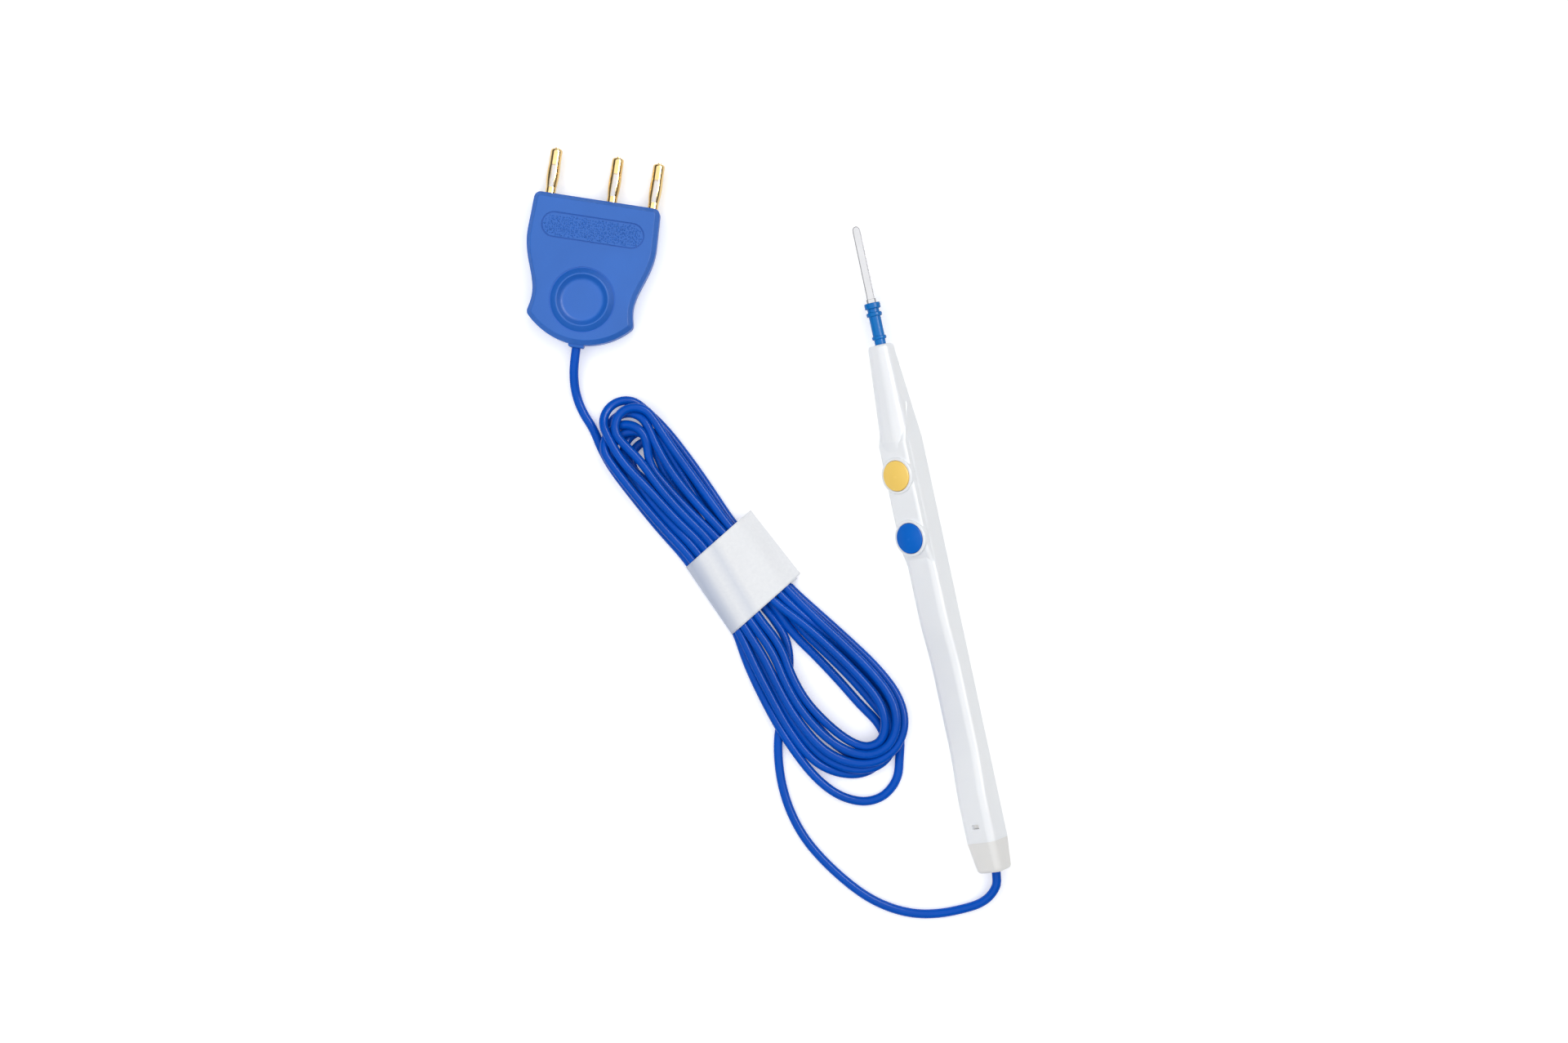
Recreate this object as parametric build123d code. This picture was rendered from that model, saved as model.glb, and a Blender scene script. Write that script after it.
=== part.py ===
from build123d import *
import math
import os

# Handle. Its own frame has Y from the cap's rear end to the blade's tip and Z out of the button face
cap_length = 10.8
barrel_length = 137.8
nose_length = 33.0
half_width = 5.9
top_height = 5.1
side_drop = 4.2
belly_drop = 7.0
rest_roll = 38.0
top_corner_radius = 2.5
low_corner_radius = 1.5
handle_wall = 1.3
nose_radius = 4.1
nose_side_drop = 1.6
nose_belly_half = 1.7
nose_top_radius = 3.2
nose_low_radius = 3.3
nose_rim_radius = 1.2
nose_rise = 1.8
nose_ramp_length = 6.0
nose_ramp_rise = 0.9
nose_arch_radius = 4.6

# Thumb scoop in the top face, from the cap's seam forwards
scoop_start = 16.2
scoop_length = 59.0
scoop_ramp = 14.0
scoop_depth = 1.4
scoop_blend_radius = 80.0

# Button pad, buttons and the collars around them, from the start of the nose backwards
pad_back = 0.6
pad_length = 43.0
pad_ramp = 8.0
pad_ramp_sink = 1.0
pad_front_slope = 14.0
pad_height = 6.4
pad_half_width = 5.6
pad_edge_radius = 1.1
cut_button_back = 11.4
button_spacing = 21.4
button_radius = 5.15
button_clearance = 0.15
button_thickness = 2.2
button_rim_rise = 0.35
button_crown = 0.55
button_edge_radius = 0.4
collar_height = 7.2
collar_wall = 0.9
collar_sink = 1.2
collar_edge_radius = 0.45
stem_radius = 1.6
leg_width = 2.4
leg_thickness = 1.0
leg_inset = 0.3
hook_reach = 0.5
hook_height = 0.8
hook_gap = 0.05

# Switch board and its domes
board_length = 42.0
board_thickness = 1.2
board_clearance = 0.1
board_seat = -1.6
ledge_width = 1.3
dome_radius = 2.8
dome_height = 0.75
dome_thickness = 0.15
dome_gap = 0.05

# Electrode, sleeve and socket, all on the handle's axis
blade_length = 26.4
blade_width = 2.6
blade_thickness = 0.5
blade_edge_radius = 0.12
blade_root_width = 3.2
blade_root_length = 1.4
blade_root_thickness = 1.0
shaft_radius = 1.19
sleeve_front_length = 14.4
sleeve_seat_depth = 10.5
sleeve_radius = 2.0
sleeve_tail_radius = 1.9
sleeve_clearance = 0.06
flange_radius = 2.7
flange_length = 2.0
neck_length = 1.2
ring_radius = 2.65
ring_length = 1.4
rear_ring_radius = 2.45
rear_ring_length = 1.2
rear_ring_gap = 1.9
ring_edge_radius = 0.4
socket_radius = 2.0
socket_clearance = 0.03
socket_floor = 1.5
socket_slit = 0.5
socket_slit_length = 12.0
shaft_end_gap = 1.0
seat_gap = 0.2
lug_length = 6.0
lug_width = 2.4
lug_thickness = 0.6

# Cap, latch and cable entry
cap_top_drop = 1.6
cap_side_taper = 0.8
cap_side_rise = 0.5
cap_belly_rise = 0.8
cap_low_radius = 1.9
cap_edge_radius = 1.4
tongue_length = 9.0
tongue_clearance = 0.15
latch_place = 5.5
latch_width = 2.8
latch_length = 1.5
latch_rise = 1.6
latch_clearance = 0.1
cable_radius = 1.525
cable_drop = 2.4
cable_clearance = 0.1
clamp_radius = 1.95
clamp_length = 6.0
jacket_inside = 9.0
core_radius = 0.5
core_circle = 0.62
core_pitch = 1.6
core_angles = {"active_wire": 90, "cut_wire": 210, "coag_wire": 330}
core_on_board = 4.0
core_rise_start = 18.0
core_rise_end = 12.0
core_bend_radius = 15.0

# Plug, in its own frame: X along the front edge, Y along the pins, Z up from the table
plug_centre = (-82.0, 138.1)
plug_turn = -20.8
plug_front_width = 42.6
plug_bulge_width = 43.8
plug_bulge_back = 13.5
plug_waist_width = 34.4
plug_waist_back = 34.2
plug_heel_width = 36.6
plug_heel_back = 40.8
plug_heel_flare = 0.3
plug_side_swell = 0.4
plug_length = 49.2
plug_thickness = 10.0
plug_corner_radius = 2.2
plug_bevel_width = 1.5
plug_bevel_height = 1.8
plug_edge_radius = 0.3
ring_back = 34.2
ring_outer_radius = 10.8
ring_crest_radius = 8.8
ring_crest_width = 0.4
ring_crest_rounding = 0.2
ring_rise = 1.3
dish_radius = 7.0
dish_depth = 0.35
dish_rounding = 1.5
moat_width = 0.35
moat_depth = 0.3
ring_root = 1.0
plate_back = 10.5
plate_length = 35.0
plate_width = 8.8
plate_depth = 0.12
plate_groove_width = 0.5
plate_groove_depth = 0.5
nub_width = 5.2
nub_length = 1.0
nub_edge_radius = 0.6
pin_places = {"active_pin": -16.5, "cut_pin": 4.5, "coag_pin": 18.5}
pin_radius = 2.0
pin_base_radius = 1.8
pin_base_length = 2.2
pin_leg_length = 7.7
pin_leg_bow = 0.15
pin_tip_length = 5.4
pin_tip_radius = 0.9
pin_nipple_radius = 0.6
pin_nipple_length = 0.4
pin_slot = 1.5
pin_shank_radius = 1.5
pin_shank_length = 9.0
carrier_side_wall = 1.8
carrier_depth = 6.0
carrier_height = 6.5
carrier_back = 1.6
plug_jacket_inside = 8.0
plug_core_radius = 0.6
plug_core_circle = 0.75
plug_core_bend_radius = 2.5
plug_core_run = 5.0
plug_core_angles = {"active_pin": 210, "cut_pin": 90, "coag_pin": 330}

# Hank, in its own frame: X from the upper to the lower loop, Y to the side, Z up, from the band's middle
hank_centre = (-60.7, 5.5)
hank_turn = -65.9
hank_height = 5.9
loose_height = 3.2
hank_edge_radius = 2.2
waist_left = -15.0
waist_right = 9.2
waist_half_length = 16.0
hank_outline = [
    (-75.6, -8.5), (-74.6, 0.0), (-64.5, 6.3), (-48.0, 8.9),
    (-waist_half_length, waist_right), (waist_half_length, waist_right),
    (46.0, 17.0), (64.0, 19.8), (76.0, 16.0), (82.6, 7.5), (83.4, -1.5), (79.5, -9.8),
    (71.5, -17.0), (59.0, -20.3), (38.0, -18.6),
    (waist_half_length, waist_left), (-waist_half_length, waist_left),
    (-42.0, -15.7), (-63.0, -17.0), (-72.0, -14.2),
]
teardrop_hole = [
    (27.0, -1.2), (37.0, -5.6), (48.0, -7.9), (60.0, -5.9), (69.0, -2.5), (71.6, 1.2),
    (67.0, 4.2), (58.0, 4.8), (44.0, 2.8), (30.0, 0.6),
]
loose_loop = [
    (30.0, -16.6), (50.0, -20.6), (62.0, -21.4), (72.5, -21.2), (81.0, -18.2), (87.0, -13.4),
    (89.3, -7.4), (88.4, -1.8), (84.6, 3.4), (79.0, 6.0),
]

# Paper band around the hank's waist
band_length = 27.6
band_paper = 0.25
band_play = 0.3
band_fold_out = 5.2
band_fold_height = 1.2

# Cable runs that are not wound up, in the object's frame, from the handle to the hank and from the
# hank to the plug. Their free ends are worked out below from the cap and the plug
pencil_run = [
    (-0.4, -118.7, 4.5), (-5.3, -121.6, 3.1), (-12.2, -122.3, 1.9), (-19.6, -122.2, 1.55),
    (-27.2, -120.8, 1.55), (-35.0, -117.3, 1.55), (-42.6, -111.6, 1.55), (-49.6, -103.4, 1.55),
    (-55.4, -94.8, 1.55), (-59.4, -87.0, 1.55), (-62.0, -78.0, 1.55), (-62.9, -69.0, 1.55),
    (-62.4, -60.5, 1.55), (-60.9, -52.5, 1.55), (-57.8, -45.0, 1.75),
]
plug_run = [
    (-102.8, 81.9, 3.9), (-103.4, 75.6, 2.4), (-102.4, 69.3, 1.6), (-99.9, 63.0, 1.75),
]
cap_exit_run = 2.6
plug_exit_run = 3.0
run_share = 0.45
near = 0.05

seam = cap_length
nose_start = seam + barrel_length
cut_button_place = nose_start - cut_button_back
button_places = {"cut": cut_button_place, "coag": cut_button_place - button_spacing}
nose_front = nose_start + nose_length
sleeve_front = nose_front + sleeve_front_length
blade_tip = sleeve_front + blade_length
roll_cos = math.cos(math.radians(rest_roll))
roll_sin = math.sin(math.radians(rest_roll))
facet_reach = half_width * roll_sin + side_drop * roll_cos
belly_half = half_width - (belly_drop - side_drop) * roll_cos / roll_sin
bay_half = half_width - handle_wall
bay_top = top_height - scoop_depth - handle_wall
gutter_half = bay_half - ledge_width
gutter_floor = (facet_reach - handle_wall - gutter_half * roll_sin) / roll_cos
board_top = board_seat + board_thickness
well_radius = button_radius + button_clearance
button_rim = collar_height + button_rim_rise
button_floor = button_rim - button_thickness
dome_top = board_top + dome_height
socket_front = nose_front - sleeve_seat_depth - seat_gap
cable_hole_radius = cable_radius + cable_clearance
jacket_end = seam + jacket_inside
hank_base = band_paper + band_play


def cross_plane(y):
    return Plane(origin=(0, y, 0), x_dir=(1, 0, 0), z_dir=(0, -1, 0))


def box_between(x0, x1, y0, y1, z0, z1):
    middle = ((x0 + x1) / 2, (y0 + y1) / 2, (z0 + z1) / 2)
    return Pos(*middle) * Box(x1 - x0, y1 - y0, z1 - z0)


def rod(radius, y0, y1, x=0.0, z=0.0):
    return extrude(cross_plane(y1) * (Pos(x, z) * Circle(radius)), amount=y1 - y0)


def upright(radius, y, z0, z1):
    return Pos(0, y, (z0 + z1) / 2) * Cylinder(radius, z1 - z0)


def corner_radius(before, corner, after):
    run_in = Vector(*corner) - Vector(*before)
    run_out = Vector(*after) - Vector(*corner)
    half_turn = math.radians(run_in.get_angle(run_out)) / 2
    return run_share * min(run_in.length, run_out.length) / math.tan(half_turn)


def open_radii(points):
    return [corner_radius(*points[i:i + 3]) for i in range(len(points) - 2)]


def soft_outline(points):
    count = len(points)
    radii = [corner_radius(points[i - 1], points[i], points[(i + 1) % count]) for i in range(count)]
    return make_face(FilletPolyline(*points, radius=radii, close=True))


def tube(points, radius, radii):
    path = FilletPolyline(*points, radius=radii)
    start = Plane(origin=path @ 0, z_dir=path % 0)
    return sweep(start * Circle(radius), path=path), path.length


def handle_section(y, half, top, side, belly, belly_side, top_radius, low_radius):
    points = [
        (-half, top), (half, top), (half, -side), (belly_side, -belly), (-belly_side, -belly), (-half, -side),
    ]
    radii = [top_radius, top_radius, low_radius, low_radius, low_radius, low_radius]
    return cross_plane(y) * make_face(FilletPolyline(*points, radius=radii, close=True))


def facet_block(y0, y1):
    above = top_height + pad_height
    points = [
        (-half_width, above), (half_width, above), (half_width, -side_drop),
        (belly_half, -belly_drop), (-belly_half, -belly_drop), (-half_width, -side_drop),
    ]
    return extrude(cross_plane(y1) * make_face(Polyline(*points, close=True)), amount=y1 - y0)


def faceted_bar(top_line):
    rear = top_line @ 0
    front = top_line @ 1
    outline = top_line + Polyline(front, (front.X, -belly_drop), (rear.X, -belly_drop), rear)
    bar = extrude(Plane.YZ * make_face(outline), amount=half_width, both=True) & facet_block(rear.X, front.X)
    long_edges = [e for e in bar.edges() if e.bounding_box().size.Y > near]
    bar = fillet([e for e in long_edges if e.center().Z > 0], top_corner_radius)
    low_edges = [e for e in bar.edges().filter_by(Axis.Y) if e.center().Z < near - side_drop]
    return fillet(low_edges, low_corner_radius)


def make_handle():
    scooped = top_height - scoop_depth
    scoop_rear = seam + scoop_start
    scoop_front = scoop_rear + scoop_length
    top_points = [
        (seam, top_height), (scoop_rear, top_height), (scoop_rear + scoop_ramp, scooped),
        (scoop_front - scoop_ramp, scooped), (scoop_front, top_height), (nose_start, top_height),
    ]
    body = faceted_bar(FilletPolyline(*top_points, radius=scoop_blend_radius))
    ramp = handle_section(
        nose_start - nose_ramp_length, half_width, top_height + nose_ramp_rise, side_drop, belly_drop,
        belly_half, nose_arch_radius, low_corner_radius,
    )
    back = handle_section(
        nose_start, half_width, top_height + nose_rise, side_drop, belly_drop, belly_half,
        nose_arch_radius, low_corner_radius,
    )
    front = handle_section(
        nose_front, nose_radius, nose_radius, nose_side_drop, nose_radius, nose_belly_half,
        nose_top_radius, nose_low_radius,
    )
    nose = loft([ramp, back, front], ruled=True)
    nose = fillet(nose.faces().sort_by(Axis.Y)[-1].edges(), nose_rim_radius)
    body = body + nose + make_pad()
    for place in button_places.values():
        collar = upright(well_radius + collar_wall, place, pad_height - collar_sink, collar_height)
        collar = fillet(collar.edges().sort_by(Axis.Z)[-1:], collar_edge_radius)
        body = body + collar
    bay = box_between(-bay_half, bay_half, seam, nose_start, board_seat, bay_top)
    gutter = box_between(-gutter_half, gutter_half, seam, nose_start, -gutter_floor, board_seat)
    body = body - bay - gutter
    for place in button_places.values():
        body = body - upright(well_radius, place, bay_top, collar_height)
    body = body - rod(socket_radius, nose_start, socket_front)
    body = body - rod(sleeve_tail_radius + sleeve_clearance, socket_front, nose_front)
    window_y = seam + latch_place
    window = box_between(
        -latch_width / 2, latch_width / 2, window_y - latch_length / 2, window_y + latch_length / 2,
        bay_top, top_height,
    )
    return body - window


def make_pad():
    pad_front = nose_start - pad_back
    pad_rear = pad_front - pad_length
    top_line = FilletPolyline(
        (pad_rear, top_height - pad_ramp_sink), (pad_rear + pad_ramp, pad_height), (pad_front, pad_height),
        (pad_front + pad_front_slope, 0), radius=[pad_ramp, pad_edge_radius],
    )
    outline = top_line + Polyline(top_line @ 1, (pad_rear, 0), top_line @ 0)
    pad = extrude(Plane.YZ * make_face(outline), amount=pad_half_width, both=True)
    sides = [e for e in pad.edges() if abs(e.center().X) > pad_half_width - near]
    rims = [e for e in sides if e.center().Z > near and e.center().Y > pad_rear + near]
    return fillet(rims, pad_edge_radius)


def make_button(place):
    rim = (button_radius, button_rim)
    crown_top = (0, button_rim + button_crown)
    sphere = (button_radius ** 2 + button_crown ** 2) / (2 * button_crown)
    half_out = button_radius / 2
    crown_mid = (half_out, button_rim + button_crown - sphere + math.sqrt(sphere ** 2 - half_out ** 2))
    outline = Polyline(crown_top, (0, button_floor), (button_radius, button_floor), rim)
    outline = outline + ThreePointArc(rim, crown_mid, crown_top)
    disc = revolve(Plane.XZ * make_face(outline), axis=Axis.Z)
    rim_edge = [e for e in disc.edges() if abs(e.center().Z - button_rim) < near]
    disc = fillet(rim_edge, button_edge_radius)
    body = Pos(0, place, 0) * disc + upright(stem_radius, place, dome_top + dome_gap, button_rim)
    hook_top = bay_top - hook_gap
    for side in (-1, 1):
        inner = place + side * (button_radius - leg_inset - leg_thickness)
        outer = place + side * (button_radius - leg_inset)
        tip = place + side * (well_radius + hook_reach)
        leg_y = sorted((inner, outer))
        hook_y = sorted((inner, tip))
        half = leg_width / 2
        leg_top = button_rim - button_edge_radius
        body = body + box_between(-half, half, *leg_y, hook_top - hook_height, leg_top)
        body = body + box_between(-half, half, *hook_y, hook_top - hook_height, hook_top)
    return body


def make_dome(place):
    sphere = (dome_radius ** 2 + dome_height ** 2) / (2 * dome_height)
    centre = (0, place, dome_top - sphere)
    slab = box_between(
        -dome_radius, dome_radius, place - dome_radius, place + dome_radius, board_top, dome_top,
    )
    return (Pos(*centre) * Sphere(sphere) & slab) - Pos(*centre) * Sphere(sphere - dome_thickness)


def make_board():
    half = bay_half - board_clearance
    front = nose_start - board_clearance
    return box_between(-half, half, front - board_length, front, board_seat, board_top)


def make_socket():
    body = rod(socket_radius, nose_start, socket_front)
    body = body - rod(shaft_radius + socket_clearance, nose_start + socket_floor, socket_front)
    slit_rear = socket_front - socket_slit_length
    body = body - box_between(-socket_slit / 2, socket_slit / 2, slit_rear, socket_front, 0, socket_radius)
    lug = box_between(
        -lug_width / 2, lug_width / 2, nose_start - lug_length, nose_start + socket_floor,
        board_top, board_top + lug_thickness,
    )
    return body + lug


def make_blade():
    shaft_rear = nose_start + socket_floor + shaft_end_gap
    shaft = rod(shaft_radius, shaft_rear, sleeve_front)
    half = blade_width / 2
    outline = Polyline(
        (-half, blade_tip - half), (-half, sleeve_front), (half, sleeve_front), (half, blade_tip - half),
    )
    outline = outline + ThreePointArc((half, blade_tip - half), (0, blade_tip), (-half, blade_tip - half))
    blade = extrude(make_face(outline), amount=blade_thickness / 2, both=True)
    blade = fillet(blade.edges().filter_by(lambda e: e.center().Y > sleeve_front + near), blade_edge_radius)
    root_half = blade_root_width / 2
    root_thick = blade_root_thickness / 2
    root = box_between(
        -root_half, root_half, sleeve_front, sleeve_front + blade_root_length, -root_thick, root_thick,
    )
    root = fillet(root.edges().filter_by(lambda e: e.center().Y > sleeve_front + near), blade_edge_radius)
    return shaft + Rot(0, rest_roll, 0) * (blade + root)


def make_sleeve():
    rear = socket_front + seat_gap
    flange_rear = sleeve_front - flange_length
    ring_front = flange_rear - neck_length
    ring_rear = ring_front - ring_length
    small_rear = nose_front + rear_ring_gap
    body = rod(sleeve_tail_radius, rear, small_rear)
    body = body + rod(rear_ring_radius, small_rear, small_rear + rear_ring_length)
    body = body + rod(sleeve_radius, small_rear + rear_ring_length, sleeve_front)
    body = body + rod(ring_radius, ring_rear, ring_front)
    body = body + rod(flange_radius, flange_rear, sleeve_front)
    rims = [e for e in body.edges() if e.length > 2 * math.pi * (rear_ring_radius - near)]
    body = fillet(rims, ring_edge_radius)
    return body - rod(shaft_radius, rear, sleeve_front)


def make_end_cap():
    rear_half = half_width - cap_side_taper
    rear_side = side_drop - cap_side_rise
    rear_belly = belly_drop - cap_belly_rise
    rear_belly_half = rear_half - (rear_belly - rear_side) * roll_cos / roll_sin
    rear = handle_section(
        0, rear_half, top_height - cap_top_drop, rear_side, rear_belly, rear_belly_half,
        top_corner_radius, cap_low_radius,
    )
    front = handle_section(
        seam, half_width, top_height, side_drop, belly_drop, belly_half, top_corner_radius, low_corner_radius,
    )
    body = loft([rear, front], ruled=True)
    body = fillet(body.faces().sort_by(Axis.Y)[0].edges(), cap_edge_radius)
    half = bay_half - tongue_clearance
    tongue_top = bay_top - tongue_clearance
    tongue_floor = clamp_radius - cable_drop + tongue_clearance
    body = body + box_between(-half, half, seam, seam + tongue_length, tongue_floor, tongue_top)
    nub_y = seam + latch_place
    half_nub = latch_width / 2 - latch_clearance
    half_long = latch_length / 2 - latch_clearance
    body = body + box_between(
        -half_nub, half_nub, nub_y - half_long, nub_y + half_long, tongue_top, tongue_top + latch_rise,
    )
    return body - rod(cable_hole_radius, 0, seam, z=-cable_drop)


def make_clamp():
    ring = rod(clamp_radius, seam, seam + clamp_length, z=-cable_drop)
    return ring - rod(cable_radius, seam, seam + clamp_length, z=-cable_drop)


def make_core(name):
    angle = math.radians(core_angles[name])
    start_x = core_circle * math.cos(angle)
    start_z = core_circle * math.sin(angle) - cable_drop
    board_rear = nose_start - board_clearance - board_length
    end_x = core_pitch * (start_x > near) - core_pitch * (start_x < -near)
    points = [
        (start_x, jacket_end, start_z),
        (start_x, jacket_end + core_rise_start, start_z),
        (end_x, board_rear - core_rise_end, board_top + core_radius),
        (end_x, board_rear + core_on_board, board_top + core_radius),
    ]
    return tube(points, core_radius, core_bend_radius)[0]


def make_plug_outer():
    front = plug_front_width / 2
    bulge = plug_bulge_width / 2
    waist = plug_waist_width / 2
    heel = plug_heel_width / 2
    mid = (bulge + waist) / 2 + plug_side_swell
    mid_back = (plug_bulge_back + plug_waist_back) / 2
    right = Spline(
        (bulge, -plug_bulge_back), (mid, -mid_back), (waist, -plug_waist_back), (heel, -plug_heel_back),
        tangents=[(0, -1), (plug_heel_flare, -1)],
    )
    left = mirror(right, Plane.YZ)
    outline = Polyline((-bulge, -plug_bulge_back), (-front, 0), (front, 0), (bulge, -plug_bulge_back))
    outline = outline + right
    outline = outline + ThreePointArc((heel, -plug_heel_back), (0, -plug_length), (-heel, -plug_heel_back))
    outline = outline + left
    body = extrude(make_face(outline), amount=plug_thickness)
    uprights = body.edges().filter_by(Axis.Z)
    corners = [e for e in uprights if e.center().Y > -near or abs(e.center().Y + plug_heel_back) < near]
    body = fillet(corners, plug_corner_radius)
    for end in (0, -1):
        flat = body.faces().sort_by(Axis.Z)[end]
        body = chamfer(flat.edges(), plug_bevel_width, plug_bevel_height, reference=flat)
    rims = body.edges().group_by(Axis.Z)
    body = fillet(rims[0] + rims[-1], plug_edge_radius)
    half = nub_width / 2
    middle = plug_thickness / 2
    nub = box_between(
        -half, half, -plug_length - nub_length, nub_width - plug_length, middle - half, middle + half,
    )
    nub = fillet(nub.faces().sort_by(Axis.Y)[0].edges(), nub_edge_radius)
    return body + nub


def make_plug_details(body):
    face = Plane(origin=(0, -plate_back, plug_thickness))
    plate = extrude(face * SlotOverall(plate_length, plate_width), amount=-plate_groove_depth)
    floor = Plane(origin=(0, -plate_back, plug_thickness - plate_groove_depth))
    land_sketch = SlotOverall(plate_length - 2 * plate_groove_width, plate_width - 2 * plate_groove_width)
    land = extrude(floor * land_sketch, amount=plate_groove_depth - plate_depth)
    body = body - plate + land
    ring_place = Pos(0, -ring_back, plug_thickness)
    rim = ring_outer_radius + moat_width
    crest_in = ring_crest_radius - ring_crest_width / 2
    crest_out = ring_crest_radius + ring_crest_width / 2
    profile = FilletPolyline(
        (0, -ring_root), (0, -dish_depth), (dish_radius, -dish_depth), (crest_in, ring_rise),
        (crest_out, ring_rise), (ring_outer_radius, -moat_depth), (rim, -moat_depth), (rim, -ring_root),
        radius=[0, 0, dish_rounding, ring_crest_rounding, ring_crest_rounding, 0, 0, 0], close=True,
    )
    ring = revolve(Plane.XZ * make_face(profile), axis=Axis.Z)
    pocket = Pos(0, 0, -ring_root / 2) * Cylinder(rim, ring_root)
    return body - ring_place * pocket + ring_place * ring


def make_pin(place):
    start = carrier_back + pin_shank_length
    base_end = pin_base_length
    leg_end = base_end + pin_leg_length
    tip_end = leg_end + pin_tip_length
    bow = pin_radius + pin_leg_bow
    outline = Polyline(
        (0, tip_end + pin_nipple_length), (0, -start), (pin_shank_radius, -start),
        (pin_shank_radius, -carrier_back), (pin_base_radius, -carrier_back), (pin_base_radius, base_end),
    )
    outline = outline + ThreePointArc(
        (pin_base_radius, base_end), (bow, (base_end + leg_end) / 2), (pin_radius, leg_end),
    )
    outline = outline + Polyline(
        (pin_radius, leg_end), (pin_radius, tip_end), (pin_nipple_radius, tip_end),
        (pin_nipple_radius, tip_end + pin_nipple_length), (0, tip_end + pin_nipple_length),
    )
    pin = revolve(make_face(outline), axis=Axis.Y)
    tip_edges = [e for e in pin.edges() if abs(e.center().Y - tip_end) < near]
    pin = fillet([e for e in tip_edges if e.length > 2 * math.pi * pin_nipple_radius + near], pin_tip_radius)
    pin = pin - box_between(-pin_slot / 2, pin_slot / 2, base_end, leg_end, -2 * bow, 2 * bow)
    return Pos(place, 0, plug_thickness / 2) * pin


def make_carrier():
    side = plug_front_width / 2 - carrier_side_wall
    back = carrier_back + carrier_depth
    half = carrier_height / 2
    middle = plug_thickness / 2
    return box_between(-side, side, -back, -carrier_back, middle - half, middle + half)


def make_plug_core(pin_name):
    angle = math.radians(plug_core_angles[pin_name])
    place = pin_places[pin_name]
    middle = plug_thickness / 2
    start_y = -plug_length + plug_jacket_inside
    start_x = plug_core_circle * math.cos(angle)
    start_z = middle + plug_core_circle * math.sin(angle)
    pin_end = -carrier_back - pin_shank_length
    points = [
        (start_x, start_y, start_z),
        (start_x, start_y + plug_core_run, start_z),
        (place, pin_end - plug_core_run, middle),
        (place, pin_end, middle),
    ]
    return tube(points, plug_core_radius, plug_core_bend_radius)[0]


def make_hank():
    base = soft_outline(hank_outline) - soft_outline(teardrop_hole)
    body = extrude(base, amount=hank_height)
    tops = body.edges().group_by(Axis.Z)[-1]
    bottoms = body.edges().group_by(Axis.Z)[0]
    body = fillet(tops + bottoms, hank_edge_radius)
    points = [(x, y, loose_height / 2) for x, y in loose_loop]
    loop = tube(points, cable_radius, open_radii(points))[0]
    return Pos(0, 0, hank_base) * (body + loop)


def make_band():
    top = hank_base + hank_height + band_play
    left = waist_left - band_play
    right = waist_right + band_play
    fold = right + band_fold_out
    inside = make_face(FilletPolyline(
        (left, band_paper), (fold, band_paper), (fold, band_fold_height), (right, top), (left, top),
        radius=[hank_edge_radius, 0, 0, hank_edge_radius, hank_edge_radius], close=True,
    ))
    outside = offset(inside, amount=band_paper, kind=Kind.INTERSECTION)
    return extrude(Plane.YZ * (outside - inside), amount=band_length / 2, both=True)


def make_plug():
    pieces = {name: make_pin(place) for name, place in pin_places.items()}
    pieces["pin_carrier"] = make_carrier()
    for name in pin_places:
        pieces["pin_carrier"] = pieces["pin_carrier"] - pieces[name]
    for name in pin_places:
        pieces["plug_" + name.replace("pin", "wire")] = make_plug_core(name)
    body = make_plug_details(make_plug_outer())
    for part in pieces.values():
        body = body - part
    pieces["plug_body"] = body
    return pieces


def make_lead(name, points):
    radii = open_radii(points)
    lead, length = tube(points, cable_radius, radii)
    expected = math.pi * cable_radius ** 2 * length
    print(name, "radii", [round(radius, 1) for radius in radii])
    print(name, "length", round(length, 1), "volume", round(lead.volume, 1), "expected", round(expected, 1))
    return lead


def place_all():
    pencil = {
        "handle": make_handle(),
        "end_cap": make_end_cap(),
        "cut_button": make_button(button_places["cut"]),
        "coag_button": make_button(button_places["coag"]),
        "switch_board": make_board(),
        "cut_dome": make_dome(button_places["cut"]),
        "coag_dome": make_dome(button_places["coag"]),
        "electrode_socket": make_socket(),
        "electrode_blade": make_blade(),
        "electrode_sleeve": make_sleeve(),
        "cable_clamp": make_clamp(),
    }
    for name in core_angles:
        pencil[name] = make_core(name)
    rolled = {name: Rot(0, -rest_roll, 0) * part for name, part in pencil.items()}
    box = Compound(list(rolled.values())).bounding_box()
    shift = Pos(-box.center().X, -box.center().Y, -box.min.Z)
    pieces = {name: shift * part for name, part in rolled.items()}

    pencil_place = shift * Rot(0, -rest_roll, 0)
    jacket_start = (pencil_place * Pos(0, jacket_end, -cable_drop)).position
    cap_exit = (pencil_place * Pos(0, -cap_exit_run, -cable_drop)).position
    pencil_points = [tuple(jacket_start), tuple(cap_exit)] + pencil_run
    pieces["cable_pencil_lead"] = make_lead("cable_pencil_lead", pencil_points)

    plug_place = Pos(plug_centre[0], plug_centre[1], 0) * Rot(0, 0, plug_turn)
    middle = plug_thickness / 2
    plug_exit = (plug_place * Pos(0, -plug_length - nub_length - plug_exit_run, middle)).position
    jacket_finish = (plug_place * Pos(0, plug_jacket_inside - plug_length, middle)).position
    plug_points = plug_run[::-1] + [tuple(plug_exit), tuple(jacket_finish)]
    pieces["cable_plug_lead"] = make_lead("cable_plug_lead", plug_points)
    for name, part in make_plug().items():
        pieces[name] = plug_place * part
    pieces["plug_body"] = pieces["plug_body"] - pieces["cable_plug_lead"]

    hank_place = Pos(hank_centre[0], hank_centre[1], 0) * Rot(0, 0, hank_turn)
    pieces["cable_hank"] = hank_place * make_hank()
    pieces["cable_band"] = hank_place * make_band()

    print("handle axis at", tuple(round(value, 4) for value in pencil_place.position))
    return pieces


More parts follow.
